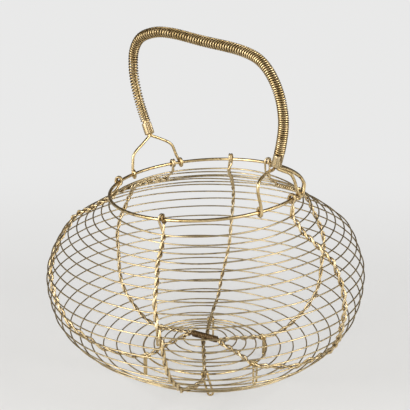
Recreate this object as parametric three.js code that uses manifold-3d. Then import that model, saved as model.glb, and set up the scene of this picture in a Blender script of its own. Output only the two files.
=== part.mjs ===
// Wire egg basket: hoops held between pairs of rib wires, six hairpin feet, a ring rim and a
// forked bail with a wound grip. Millimetres, +Z up, feet on Z = 0, the photographed side at -Y.
import * as THREE from "three";
import { mergeVertices } from "three/addons/utils/BufferGeometryUtils.js";
import Module from "manifold-3d";

const wasm = await Module();
wasm.setup();

// Gap kept between pieces that touch on the real basket, the closer one between the two wires in
// the grip, and the room between them and the winding
const clearance = 0.3;
const gripPlay = 0.18;
const windingPlay = 0.45;

// Wire diameters
const rimWire = 3;
const neckWire = 1.4;
const footRingWire = 1.6;
const hoopWire = 1.2;
const ribWire = 1.2;
const footWire = 1.5;
const bailWire = 2.5;
const wrapWire = 1.5;

// Flat sides: of each ring, and of the section of each wire
const bottomSegments = 16;
const hoopSegments = 24;
const rimSegments = 48;
const hoopSides = 4;
const footSides = 5;
const thickSides = 6;

// Body: radius and height above the foot ring, from the foot ring to the neck ring
const bodyOutline = [
  [56, 0], [79, 2.8], [101, 9.3], [129, 34.3], [140, 72],
  [131.5, 104], [119.5, 117], [99, 129.5], [84.5, 140.2],
];
const hoopCount = 20;
// The hoops stand this much closer together towards the neck, as a share of the outline
const hoopCrowding = 0.06;
// Lean of the neck ring: its +X side and its +Y side are higher. It fades out down the body.
const neckLean = 2.2;
const neckTip = 1.5;

// Raised middle of the bottom: ring radii, and the height of its peak above the foot ring
const kickRadii = [19.5, 28.5, 37.5, 46.5];
const kickHeight = 9;

// Hub bar that holds the rib wires under the middle
const hubLength = 28;
const hubThickness = 5.2;
const hubAzimuth = -30;

// Rim ring: radius, height above the neck ring, and its lean, the +X side being higher
const rimRadius = 84;
const rimRise = 11.3;
const rimLean = 4;

// Feet: hairpins that hang from the foot ring where the ribs cross it
const footLength = 20;
const footWidth = 5;
const footFlat = 0.5;
const floorBlock = [400, 400, 10];

// Ribs, each a pair of wires. At these shares of the way up the wall, each rib stands at the
// compass angles of its list. Then come the angle of its hook over the rim and how far its foot
// leans along the foot ring. Where its wires are first wound along a hoop, there follow how many
// hoops that one is below the neck ring, the number of turns and the angle they head for.
const ribShares = [0, 0.25, 0.5, 0.75, 0.92, 1];
const ribs = {
  front: { angles: [270, 259, 256.5, 252.5, 248.6, 246.3], hook: 244.6, footLean: 5 },
  back: { angles: [84.5, 82, 79.6, 78.1, 76.7, 75.7], hook: 74, footLean: 0 },
  back_left: {
    angles: [139.5, 134, 129, 125, 131, 131], hook: 110.8, footLean: 0,
    below: 2, turns: 6, windTo: 110.8,
  },
  back_right: {
    angles: [18, 28, 35, 41, 42, 42], hook: 48, footLean: 0,
    below: 4, turns: 3, windTo: 53.5,
  },
  left: { angles: [203, 187, 178, 162, 165, 168], hook: 158, footLean: 0 },
  right: { angles: [320, 333, 325, 324.5, 325, 327.5], hook: 328.5, footLean: 0 },
};
const strandOffset = 0.8;
const hookSweep = 180;
// The rib wires bend sharply at the neck ring, so their bends stand this much further off it
const neckReach = 1.36;
// Share of the way to that angle over which a rib is wound along the hoop
const woundShare = 0.92;
// Lacing: one more wire wound along a hoop, with a long pitch
const lacing = { angle: 134, below: 2, turns: 4, windTo: 157 };

// Bail: the route of the grip in its own plane, as distance from the middle and height above the rim
const gripRoute = [
  [-85.5, 29.5], [-90.5, 42], [-97, 58.5], [-101.5, 76], [-102.5, 90], [-99.5, 107], [-89.5, 119.5],
  [-68.5, 127], [-46.5, 128.5], [-5.5, 125.5], [42, 122], [61, 117], [73, 107.5], [83, 89.5],
  [86, 70], [82.5, 50], [75, 29],
];
// Arms of the forks: the compass angle of the eye on the rim, its slant along the rim and its part
// of a turn, then the shape: share of the way out to the eye, and of the height left
const arms = {
  leftFront: {
    eye: 142, slant: -0.57, turn: 0.75,
    shape: [
      [0.08, 0.97], [0.41, 0.81], [0.64, 0.71], [0.79, 0.63], [0.91, 0.51], [0.95, 0.35], [0.99, 0.13],
    ],
  },
  leftBack: {
    eye: 106.7, slant: 0.14, turn: 0.75,
    shape: [
      [0.12, 0.95], [0.46, 0.79], [0.65, 0.68], [0.76, 0.57], [0.82, 0.44], [0.89, 0.24], [0.96, 0.09],
    ],
  },
  rightFront: {
    eye: 300.9, slant: 0, turn: 0.75,
    shape: [
      [0.12, 0.98], [0.45, 1.02], [0.78, 1], [1.02, 0.95],
      [1.14, 0.86], [1.17, 0.65], [1.1, 0.41], [1.03, 0.2],
    ],
  },
  rightBack: {
    eye: 340.4, slant: 0, turn: 0.75,
    shape: [[0.12, 0.95], [0.47, 0.8], [0.68, 0.66], [0.88, 0.51], [1, 0.36], [1.05, 0.24], [1.03, 0.12]],
  },
  rightShort: {
    eye: 335.5, slant: 0, turn: 0.25,
    shape: [[0.2, 0.91], [0.5, 0.78], [0.62, 0.69], [0.7, 0.57], [0.76, 0.44], [0.8, 0.31], [0.92, 0.05]],
  },
};
const eyeStretch = 1.2;
const armSteps = 10;
const gripSteps = 24;

// Grip: a close winding between two sleeves
const gripTurns = 76;
const sleeveLength = 11;
// The bail wires stand out of the sleeves by this much before they spread
const sleeveStand = 1.9;
const sleeveWidth = 9.6;
const sleeveThickness = 8.8;
const grooveDepth = 0.9;
const grooveHalfWidth = 0.3;
// Share of a turn by which the winding's first end stands off the front of the grip
const windingStart = 0.125;

const radians = THREE.MathUtils.degToRad;
const up = new THREE.Vector3(0, 0, 1);
const finishes = {
  wire: new THREE.MeshStandardMaterial({ color: 0xb59c64, roughness: 0.38, metalness: 0.9 }),
  hoop: new THREE.MeshStandardMaterial({ color: 0x857458, roughness: 0.45, metalness: 0.85 }),
  hub: new THREE.MeshStandardMaterial({ color: 0x503f28, roughness: 0.6, metalness: 0.6 }),
};

const basket = new THREE.Group();

function add(name, geometry, finish, parent = basket) {
  const mesh = new THREE.Mesh(geometry, finishes[finish]);
  mesh.name = name;
  parent.add(mesh);
  return mesh;
}

// A curve whose equal steps are the given points themselves
class Route extends THREE.Curve {
  constructor(points) {
    super();
    this.points = points;
  }
  getPoint(t, target = new THREE.Vector3()) {
    const place = t * (this.points.length - 1);
    const index = Math.min(Math.floor(place), this.points.length - 2);
    return target.lerpVectors(this.points[index], this.points[index + 1], place - index);
  }
  getPointAt(t, target) {
    return this.getPoint(t, target);
  }
  getTangentAt(t, target) {
    return this.getTangent(t, target);
  }
}

function circle(radius, sides, turn = 0) {
  const corners = [];
  for (let i = 0; i < sides; i += 1) {
    const angle = ((i + turn) / sides) * 2 * Math.PI;
    corners.push(new THREE.Vector2(radius * Math.cos(angle), radius * Math.sin(angle)));
  }
  return corners;
}

function wireAlong(points, diameter, sides) {
  return new THREE.ExtrudeGeometry(new THREE.Shape(circle(diameter / 2, sides)), {
    steps: points.length - 1,
    extrudePath: new Route(points),
    bevelEnabled: false,
  });
}

// Rings. Each is a plane circle round Z that leans, so that its +X side and its +Y side are higher.
function makeRing(radius, height, wire, segments, lean = 0, tip = 0) {
  const turn = new THREE.Quaternion().setFromAxisAngle(new THREE.Vector3(0, 1, 0), -radians(lean));
  turn.multiply(new THREE.Quaternion().setFromAxisAngle(new THREE.Vector3(1, 0, 0), radians(tip)));
  return { radius, height, wire, segments, turn };
}

function ringGeometry(ring, sides) {
  const profile = circle(ring.wire / 2, sides, 0.5).map((p) => new THREE.Vector2(ring.radius + p.x, p.y));
  profile.push(profile[0].clone());
  const geometry = new THREE.LatheGeometry(profile, ring.segments);
  return geometry.rotateX(Math.PI / 2).applyQuaternion(ring.turn).translate(0, 0, ring.height);
}

// A flat-sided ring comes nearer to its middle between two corners: its true radius there
function radiusAt(ring, azimuth) {
  const step = (2 * Math.PI) / ring.segments;
  const part = ((azimuth % step) + step) % step;
  return (ring.radius * Math.cos(step / 2)) / Math.cos(part - step / 2);
}

// A point beside a ring: along its outward direction and along its own axis
function besideRing(ring, azimuth, outward, upward) {
  const radius = radiusAt(ring, azimuth) + outward;
  const point = new THREE.Vector3(radius * Math.cos(azimuth), radius * Math.sin(azimuth), upward);
  return point.applyQuaternion(ring.turn).addScaledVector(up, ring.height);
}

function alongRing(ring, azimuth) {
  const direction = new THREE.Vector3(-Math.sin(azimuth), Math.cos(azimuth), 0);
  return direction.applyQuaternion(ring.turn);
}

// Hoop places along the outline, from the foot ring up to the neck ring
const outlinePoints = bodyOutline.map(([radius, height]) => new THREE.Vector2(radius, height));
const outline = new THREE.SplineCurve(outlinePoints);
outline.arcLengthDivisions = 800;
const rings = [];
kickRadii.forEach((radius) => {
  const rise = kickHeight * Math.cos((Math.PI / 2) * (radius / bodyOutline[0][0]));
  rings.push({ share: 0, ...makeRing(radius, footLength + rise, hoopWire, bottomSegments) });
});
for (let i = 0; i <= hoopCount + 1; i += 1) {
  const even = i / (hoopCount + 1);
  const share = even + hoopCrowding * Math.sin(Math.PI * even);
  const place = outline.getPointAt(share);
  const leaning = share * share;
  const wire = i === 0 ? footRingWire : i > hoopCount ? neckWire : hoopWire;
  const segments = i > hoopCount ? rimSegments : hoopSegments;
  const height = footLength + place.y;
  const ring = makeRing(place.x, height, wire, segments, neckLean * leaning, neckTip * leaning);
  rings.push({ share, ...ring });
}
const footRing = rings[kickRadii.length];
const neckRing = rings[rings.length - 1];
const neckPlace = rings.length - 1;
const rimRing = makeRing(rimRadius, neckRing.height + rimRise, rimWire, rimSegments, rimLean);

rings.slice(0, kickRadii.length).forEach((ring, i) => {
  add(`bottom_hoop_${i + 1}`, ringGeometry(ring, hoopSides), "hoop");
});
add("foot_ring", ringGeometry(footRing, hoopSides), "wire");
rings.slice(kickRadii.length + 1, -1).forEach((ring, i) => {
  add(`body_hoop_${String(i + 1).padStart(2, "0")}`, ringGeometry(ring, hoopSides), "hoop");
});
add("neck_ring", ringGeometry(neckRing, thickSides), "wire");
add("rim_ring", ringGeometry(rimRing, thickSides), "wire");

// Hub bar
const hubAngle = radians(hubAzimuth);
const hubDirection = new THREE.Vector3(Math.cos(hubAngle), Math.sin(hubAngle), 0);
const hubAcross = new THREE.Vector3().crossVectors(up, hubDirection);
const hubHeight = footLength + kickHeight;
const hubShape = new THREE.CapsuleGeometry(hubThickness / 2, hubLength - hubThickness, 3, 8);
const hub = add("hub_bar", hubShape, "hub");
hub.quaternion.setFromUnitVectors(new THREE.Vector3(0, 1, 0), hubDirection);
hub.position.set(0, 0, hubHeight);

// Where a rib meets the hub: the left ribs at one end, the right ones at the other, and the
// front and back ribs at its middle
const hubReach = clearance + ribWire / 2;
const besideHub = hubThickness / 2 + hubReach;
const hubPlaces = {
  front: [0, -besideHub],
  back: [0, besideHub],
  back_left: [-hubLength / 2 - hubReach, ribWire],
  left: [-hubLength / 2 - hubReach, -ribWire],
  back_right: [hubLength / 2 + hubReach, ribWire],
  right: [hubLength / 2 + hubReach, -ribWire],
};

// Compass angle where the straight line from one point to another crosses a circle
function crossingAngle(from, to, radius) {
  const line = to.clone().sub(from);
  const a = line.lengthSq();
  const b = 2 * from.dot(line);
  const c = from.lengthSq() - radius * radius;
  const t = (-b - Math.sqrt(Math.max(b * b - 4 * a * c, 0))) / (2 * a);
  const point = from.clone().add(line.multiplyScalar(t));
  return Math.atan2(point.y, point.x);
}

// Direction out of the basket's wall at a ring, as shares outward and upward
const wall = rings.map((ring, i) => {
  const before = rings[Math.max(i - 1, 0)];
  const after = rings[i + 1] ?? rimRing;
  return new THREE.Vector2(after.height - before.height, before.radius - after.radius).normalize();
});

// Compass angle of a rib at a share of the way up: smooth between the listed ones
function ribAngle(rib, share) {
  const next = Math.max(ribShares.findIndex((value) => value >= share), 1);
  const part = (share - ribShares[next - 1]) / (ribShares[next] - ribShares[next - 1]);
  const smooth = THREE.MathUtils.smoothstep(part, 0, 1);
  return radians(THREE.MathUtils.lerp(rib.angles[next - 1], rib.angles[next], smooth));
}

// Compass angle at which a wire wound along a hoop leaves it
function woundEnd(azimuth, rib) {
  return THREE.MathUtils.lerp(azimuth, radians(rib.windTo), woundShare);
}

// One wire of a rib: it passes every ring, outside and inside by turns, and hooks over the rim.
// Above a hoop along which it was wound, it leans evenly to the angle of its hook.
function ribPoints(rib, hubPlace, side) {
  const points = [];
  const woundPlace = rib.turns > 0 ? neckPlace - rib.below : rings.length;
  const footAngle = radians(rib.angles[0]);
  const footPoint = new THREE.Vector2(Math.cos(footAngle), Math.sin(footAngle));
  footPoint.multiplyScalar(footRing.radius);
  const hubPoint = hubDirection.clone().multiplyScalar(hubPlace[0]);
  hubPoint.addScaledVector(hubAcross, hubPlace[1]);
  points.push(hubPoint.clone().setZ(hubHeight - side * strandOffset));
  rings.forEach((ring, i) => {
    const inward = new THREE.Vector2(hubPoint.x, hubPoint.y);
    let azimuth = ribAngle(rib, ring.share);
    if (i < kickRadii.length) azimuth = crossingAngle(footPoint, inward, ring.radius);
    if (i > woundPlace) {
      const from = woundEnd(ribAngle(rib, rings[woundPlace].share), rib);
      azimuth = THREE.MathUtils.lerp(from, radians(rib.hook), (i - woundPlace) / (neckPlace - woundPlace));
    }
    const face = side * (i % 2 === 0 ? 1 : -1);
    const reach = (ring.wire / 2 + clearance + ribWire / 2) * (ring === neckRing ? neckReach : 1);
    if (i === woundPlace) {
      points.push(...turnsRound(ring, azimuth, rib, side));
      return;
    }
    const point = besideRing(ring, azimuth, wall[i].x * face * reach, wall[i].y * face * reach);
    points.push(point.addScaledVector(alongRing(ring, azimuth), side * strandOffset));
  });
  const face = side * (neckPlace % 2 === 0 ? 1 : -1);
  points.push(...hookPoints(radians(rib.hook), side, face));
  return points;
}

// Turns of a rib wire round a hoop on its way from the wall to its hook. They end above the hoop.
function turnsRound(ring, azimuth, rib, side) {
  const points = [];
  const stepsPerTurn = 6;
  const steps = rib.turns * stepsPerTurn + 1;
  const reach = (ring.wire / 2 + clearance + ribWire / 2) / Math.cos(Math.PI / stepsPerTurn);
  const reached = woundEnd(azimuth, rib) - azimuth;
  const quarterPitch = Math.abs(reached) / rib.turns / 4;
  for (let i = 0; i <= steps; i += 1) {
    const angle = (i / stepsPerTurn) * 2 * Math.PI;
    const place = azimuth + side * quarterPitch + reached * (i / steps);
    points.push(besideRing(ring, place, reach * Math.cos(angle), reach * Math.sin(angle)));
  }
  return points;
}

// The end of a rib wire, bent over the rim from the side on which it arrives
function hookPoints(azimuth, side, face) {
  const points = [];
  const step = Math.PI / 4;
  const reach = (rimWire / 2 + clearance + ribWire / 2) / Math.cos(step / 2);
  const steps = Math.round(radians(hookSweep) / step);
  for (let i = 0; i <= steps; i += 1) {
    const angle = i * step;
    const point = besideRing(rimRing, azimuth, face * reach * Math.cos(angle), reach * Math.sin(angle));
    points.push(point.addScaledVector(alongRing(rimRing, azimuth), side * (strandOffset + clearance / 2)));
  }
  return points;
}

Object.entries(ribs).forEach(([name, rib]) => {
  add(`rib_${name}_wire_a`, wireAlong(ribPoints(rib, hubPlaces[name], 1), ribWire, hoopSides), "wire");
  add(`rib_${name}_wire_b`, wireAlong(ribPoints(rib, hubPlaces[name], -1), ribWire, hoopSides), "wire");
});
const lacingPoints = turnsRound(rings[neckPlace - lacing.below], radians(lacing.angle), lacing, 1);
add("lacing_wire", wireAlong(lacingPoints, ribWire, hoopSides), "wire");

// Feet: both legs of a hairpin hook over the foot ring, one on each side of the rib
function footPoints(azimuth, lean) {
  const step = Math.PI / 4;
  const reach = (footRingWire / 2 + clearance + footWire / 2) / Math.cos(step / 2);
  const half = footWidth / 2;
  const bend = half + footWire / 2 - footFlat;
  const along = alongRing(footRing, azimuth);
  const leg = [];
  for (let i = 0; i <= 4; i += 1) {
    const angle = (4 - i) * step;
    leg.push(besideRing(footRing, azimuth, reach * Math.cos(angle), reach * Math.sin(angle)));
  }
  const foot = leg[leg.length - 1].clone().setZ(bend).addScaledVector(along, lean);
  const left = leg.map((point) => point.clone().addScaledVector(along, -half));
  const right = leg.map((point) => point.clone().addScaledVector(along, half)).reverse();
  const bottom = [];
  for (let i = 0; i <= 4; i += 1) {
    const angle = i * step;
    const point = foot.clone().addScaledVector(along, -half * Math.cos(angle));
    bottom.push(point.addScaledVector(up, -half * Math.sin(angle)));
  }
  return [...left, ...bottom, ...right];
}

function toSolid(geometry) {
  const bare = geometry.clone();
  bare.deleteAttribute("normal");
  bare.deleteAttribute("uv");
  const merged = mergeVertices(bare, 1e-4);
  const mesh = new wasm.Mesh({
    numProp: 3,
    vertProperties: new Float32Array(merged.attributes.position.array),
    triVerts: new Uint32Array(merged.index.array),
  });
  return new wasm.Manifold(mesh);
}

function cutFlat(geometry) {
  const block = new THREE.BoxGeometry(...floorBlock).translate(0, 0, -floorBlock[2] / 2);
  const mesh = toSolid(geometry).subtract(toSolid(block)).getMesh();
  const result = new THREE.BufferGeometry();
  result.setAttribute("position", new THREE.BufferAttribute(mesh.vertProperties, 3));
  result.setIndex(new THREE.BufferAttribute(mesh.triVerts, 1));
  return result;
}

Object.entries(ribs).forEach(([name, rib]) => {
  const geometry = wireAlong(footPoints(radians(rib.angles[0]), rib.footLean), footWire, footSides);
  add(`foot_${name}`, cutFlat(geometry), "wire");
});

// Bail. Its plane stands on the rim, through the middle of the chord of each pair of eyes.
function rimPoint(azimuth, outward = 0, upward = 0) {
  return besideRing(rimRing, azimuth, outward, upward);
}

const leftMiddle = rimPoint(radians(arms.leftBack.eye)).lerp(rimPoint(radians(arms.leftFront.eye)), 0.5);
const rightMiddle = rimPoint(radians(arms.rightBack.eye)).lerp(rimPoint(radians(arms.rightFront.eye)), 0.5);
const bailMiddle = leftMiddle.clone().lerp(rightMiddle, 0.5);
const bailAlong = rightMiddle.clone().sub(leftMiddle).normalize();
const rimUp = up.clone().applyQuaternion(rimRing.turn);
const bailAcross = new THREE.Vector3().crossVectors(rimUp, bailAlong).normalize();

const grip = new THREE.CatmullRomCurve3(
  gripRoute.map(([along, height]) => {
    return bailMiddle.clone().addScaledVector(bailAlong, along).addScaledVector(rimUp, height);
  }),
  false,
  "centripetal",
);
grip.arcLengthDivisions = 2000;
const gripLength = grip.getLength();
const wireSpacing = bailWire + gripPlay;

// An eye: the wire comes down outside the rim and goes under it. A full one comes up again inside
// and ends above the rim.
function eyePoints(fork) {
  const stepsPerTurn = 8;
  const reach = (rimWire / 2 + clearance + bailWire / 2) / Math.cos(Math.PI / stepsPerTurn);
  const points = [];
  for (let i = 0; i <= fork.turn * stepsPerTurn; i += 1) {
    const angle = (-i / stepsPerTurn) * 2 * Math.PI;
    const outward = reach * Math.cos(angle);
    const place = radians(fork.eye) + (fork.slant * outward) / rimRadius;
    points.push(rimPoint(place, outward, eyeStretch * reach * Math.sin(angle)));
  }
  return points;
}

// One arm of a fork, from the sleeve down to its eye, then the eye itself
function armPoints(from, fork) {
  const eye = eyePoints(fork);
  const drop = eye[0].clone().sub(from);
  const height = rimUp.clone().multiplyScalar(drop.dot(rimUp));
  const across = drop.clone().sub(height);
  const arm = new THREE.CatmullRomCurve3([
    from,
    ...fork.shape.map(([out, left]) => {
      return from.clone().addScaledVector(across, out).addScaledVector(height, 1 - left);
    }),
    eye[0],
  ], false, "centripetal");
  return [...arm.getSpacedPoints(armSteps).slice(1, -1), ...eye];
}

function bailPoints(side, leftFork, rightFork) {
  const offset = bailAcross.clone().multiplyScalar((side * wireSpacing) / 2);
  const middle = [];
  for (let i = 0; i <= gripSteps; i += 1) {
    middle.push(grip.getPointAt(i / gripSteps).add(offset));
  }
  const left = armPoints(middle[0], leftFork).reverse();
  return [...left, ...middle, ...armPoints(middle[gripSteps], rightFork)];
}

const bail = new THREE.Group();
basket.add(bail);
const backWire = bailPoints(1, arms.leftBack, arms.rightBack);
const frontWire = bailPoints(-1, arms.leftFront, arms.rightFront);
add("bail_wire_back", wireAlong(backWire, bailWire, thickSides), "wire", bail);
add("bail_wire_front", wireAlong(frontWire, bailWire, thickSides), "wire", bail);

// The short third wire of the right fork. It starts under the sleeve, beside the other two.
const shortStart = grip.getPointAt(1).addScaledVector(bailAlong, bailWire + clearance);
shortStart.addScaledVector(rimUp, -2 * clearance);
const shortWire = [shortStart, ...armPoints(shortStart, arms.rightShort)];
add("bail_wire_short", wireAlong(shortWire, bailWire, thickSides), "wire", bail);

// Sleeves: short grooved tubes round both wires, one at each end of the grip
function sleeveShape() {
  const shape = new THREE.Shape();
  const steps = 24;
  for (let i = 0; i < steps; i += 1) {
    const angle = (i / steps) * 2 * Math.PI;
    const groove = grooveDepth * Math.max(0, 1 - Math.abs(Math.cos(angle)) / grooveHalfWidth);
    const x = (sleeveWidth / 2) * Math.cos(angle);
    const y = (sleeveThickness / 2 - groove) * Math.sin(angle);
    if (i === 0) shape.moveTo(x, y);
    else shape.lineTo(x, y);
  }
  shape.closePath();
  const bore = bailWire / 2 + clearance;
  const hole = new THREE.Path();
  hole.absarc(wireSpacing / 2, 0, bore, -Math.PI / 2, Math.PI / 2, false);
  hole.absarc(-wireSpacing / 2, 0, bore, Math.PI / 2, (3 * Math.PI) / 2, false);
  hole.closePath();
  shape.holes.push(hole);
  return shape;
}

function addSleeve(name, start, end) {
  const geometry = new THREE.ExtrudeGeometry(sleeveShape(), {
    depth: sleeveLength,
    curveSegments: 5,
    bevelEnabled: false,
  });
  const from = grip.getPointAt(start / gripLength);
  const axis = grip.getPointAt(end / gripLength).sub(from).normalize();
  const placing = new THREE.Matrix4().makeBasis(bailAcross, axis.clone().cross(bailAcross), axis);
  const mesh = add(name, geometry, "wire", bail);
  mesh.quaternion.setFromRotationMatrix(placing);
  mesh.position.copy(from);
}

addSleeve("grip_sleeve_left", sleeveStand, sleeveStand + sleeveLength);
addSleeve("grip_sleeve_right", gripLength - sleeveStand - sleeveLength, gripLength - sleeveStand);

// Winding: one unbroken wire round both bail wires, straight at its ends against the sleeves
const curlSteps = 8;
const curlSides = 5;
const windingInner = (wireSpacing + bailWire) / 2 + windingPlay;
const windingRadius = (windingInner + wrapWire / 2) / Math.cos(Math.PI / curlSteps);

function windingPoints() {
  const start = sleeveStand + sleeveLength + clearance;
  const end = gripLength - start;
  const steps = gripTurns * curlSteps;
  const points = [];
  for (let i = -1; i <= steps + 1; i += 1) {
    const share = THREE.MathUtils.clamp(i / steps, 0, 1);
    const straight = i < 0 ? 0 : i > steps ? end : start + wrapWire + share * (end - start - 2 * wrapWire);
    const along = i < 0 ? start : straight;
    const centre = grip.getPointAt(along / gripLength);
    const tangent = grip.getTangentAt(along / gripLength);
    const normal = tangent.clone().cross(bailAcross).normalize();
    const angle = (share * gripTurns + windingStart) * 2 * Math.PI;
    centre.addScaledVector(normal, windingRadius * Math.cos(angle));
    points.push(centre.addScaledVector(bailAcross, windingRadius * Math.sin(angle)));
  }
  return points;
}

// A round tube through the given points, closed at both ends
function tubeGeometry(points, diameter, sides) {
  const route = new Route(points);
  const frames = route.computeFrenetFrames(points.length - 1, false);
  const position = [];
  const index = [];
  points.forEach((point, i) => {
    circle(diameter / 2, sides).forEach((corner) => {
      const vertex = point.clone().addScaledVector(frames.normals[i], corner.x);
      position.push(...vertex.addScaledVector(frames.binormals[i], corner.y).toArray());
    });
  });
  for (let i = 0; i < points.length - 1; i += 1) {
    for (let j = 0; j < sides; j += 1) {
      const a = i * sides + j;
      const b = i * sides + ((j + 1) % sides);
      index.push(a, b, b + sides, a, b + sides, a + sides);
    }
  }
  const last = (points.length - 1) * sides;
  for (let j = 1; j < sides - 1; j += 1) {
    index.push(0, j + 1, j);
    index.push(last, last + j, last + j + 1);
  }
  const geometry = new THREE.BufferGeometry();
  geometry.setAttribute("position", new THREE.Float32BufferAttribute(position, 3));
  geometry.setIndex(index);
  return geometry;
}

// Least distance between two turns of a wound wire, less its diameter
function leastGap(points, diameter, skip) {
  let least = Infinity;
  for (let i = 0; i < points.length; i += 1) {
    for (let j = i + skip; j < Math.min(points.length, i + 3 * curlSteps); j += 1) {
      least = Math.min(least, points[i].distanceTo(points[j]) - diameter);
    }
  }
  return least;
}

const winding = windingPoints();
add("grip_winding", tubeGeometry(winding, wrapWire, curlSides), "wire", bail);
const windingGap = leastGap(winding, wrapWire, curlSteps - 2).toFixed(2);
console.log(`winding: ${gripTurns} turns, least gap to itself ${windingGap} mm`);

// The origin lies under the middle of the whole basket's box
const box = new THREE.Box3().setFromObject(basket);
basket.position.set(-(box.min.x + box.max.x) / 2, -(box.min.y + box.max.y) / 2, 0);
const rimAxisPoint = new THREE.Vector3(0, 0, rimRing.height).add(basket.position);
console.log("bail axis passes", rimAxisPoint.toArray().map((v) => v.toFixed(3)), "along", rimUp.toArray());

export default basket;
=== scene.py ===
import math
import bpy
import numpy as np
from mathutils import Matrix


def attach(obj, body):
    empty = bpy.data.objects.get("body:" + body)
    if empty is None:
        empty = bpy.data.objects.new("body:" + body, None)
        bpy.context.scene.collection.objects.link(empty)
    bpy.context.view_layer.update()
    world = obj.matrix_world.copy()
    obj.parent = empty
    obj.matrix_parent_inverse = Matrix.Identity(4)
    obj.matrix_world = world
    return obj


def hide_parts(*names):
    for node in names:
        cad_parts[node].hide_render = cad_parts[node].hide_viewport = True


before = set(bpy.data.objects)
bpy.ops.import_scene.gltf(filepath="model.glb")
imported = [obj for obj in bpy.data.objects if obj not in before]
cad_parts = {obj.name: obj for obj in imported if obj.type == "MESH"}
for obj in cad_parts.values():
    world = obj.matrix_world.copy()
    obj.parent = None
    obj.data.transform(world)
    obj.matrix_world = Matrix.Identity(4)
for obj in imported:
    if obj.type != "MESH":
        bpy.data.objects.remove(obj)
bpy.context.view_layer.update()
print("frame loaded:", len(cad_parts), "nodes")

# Wire egg basket. Sizes are in millimetres and become metres when a mesh is made. The stage, the
# lamps and the camera's clip distances are in metres. Angles round the basket are in degrees,
# from its right side (X) towards its back (Y).
millimetre = 0.001
turnRound = 2.0 * math.pi


# Camera. The pitch is in degrees, the roll in radians.
cameraFacts = {
    "lens": 95.99,
    "sensor": 36.0,
    "clip": (0.01, 50.0),
    "place": (-0.97, -900.7, 466.9),
    "pitch": 70.92,
    "roll": 0.008,
}


def makeCamera(facts):
    data = bpy.data.cameras.new("camera")
    data.lens = facts["lens"]
    data.sensor_width = facts["sensor"]
    data.clip_start, data.clip_end = facts["clip"]
    camera = bpy.data.objects.new("camera", data)
    bpy.context.scene.collection.objects.link(camera)
    turn = Matrix.Rotation(math.radians(facts["pitch"]), 4, "X") @ Matrix.Rotation(facts["roll"], 4, "Z")
    camera.matrix_world = Matrix.Translation([v * millimetre for v in facts["place"]]) @ turn
    bpy.context.scene.camera = camera


makeCamera(cameraFacts)


# Shapes
def unit(vectors):
    # Each vector divided by its length
    return vectors / np.maximum(np.linalg.norm(vectors, axis=-1, keepdims=True), 1e-12)


def cubics(p1, p2, m1, m2, perPart):
    # A cubic from each point of p1 to that of p2, with the slopes m1 and m2 at its ends
    p1, p2, m1, m2 = p1[:, None], p2[:, None], m1[:, None], m2[:, None]
    t = np.linspace(0, 1, perPart, endpoint=False)[None, :, None]
    curve = (2 * p1 - 2 * p2 + m1 + m2) * t**3 + (-3 * p1 + 3 * p2 - 2 * m1 - m2) * t**2 + m1 * t + p1
    return curve.reshape(-1, curve.shape[-1])


def smoothRoute(points, perPart):
    # Centripetal curve through the points: each part is a cubic whose end slopes come from the
    # neighbouring points, weighted by the square root of their distances
    p = np.asarray(points, float)
    p = np.vstack([2 * p[0] - p[1], p, 2 * p[-1] - p[-2]])
    gap = np.maximum(np.sqrt(np.linalg.norm(np.diff(p, axis=0), axis=1)), 1e-4)[:, None]
    p0, p1, p2, p3 = p[:-3], p[1:-2], p[2:-1], p[3:]
    g0, g1, g2 = gap[:-2], gap[1:-1], gap[2:]
    m1 = ((p1 - p0) / g0 - (p2 - p0) / (g0 + g1) + (p2 - p1) / g1) * g1
    m2 = ((p2 - p1) / g1 - (p3 - p1) / (g1 + g2) + (p3 - p2) / g2) * g1
    return np.vstack([cubics(p1, p2, m1, m2, perPart), p[-2]])


def lengthsAlong(points):
    # Distance of each point from the first one, summed along the polyline
    return np.concatenate([[0.0], np.cumsum(np.linalg.norm(np.diff(points, axis=0), axis=1))])


def atLengths(points, wanted):
    # Points at the wanted distances along a polyline
    along = lengthsAlong(points)
    return np.stack([np.interp(wanted, along, points[:, k]) for k in range(points.shape[1])], axis=1)


def evenSteps(points, step):
    # The same polyline in equal steps of about the step's length
    length = lengthsAlong(points)[-1]
    return atLengths(points, np.linspace(0, length, max(int(round(length / step)), 2) + 1))


def makeMesh(name, vertices, faces):
    mesh = bpy.data.meshes.new(name)
    mesh.from_pydata((np.asarray(vertices) * millimetre).tolist(), [], faces)
    mesh.polygons.foreach_set("use_smooth", np.ones(len(mesh.polygons), bool))
    mesh.update()
    return mesh


# The end bow is the angles of the sections that round an open end
# The shade fade is the range of facing over which a flank's painted shade grows to full
wireFacts = {"endBow": (75.0, 50.0, 25.0), "shadeFade": 0.45}
bowCount = len(wireFacts["endBow"])


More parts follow.
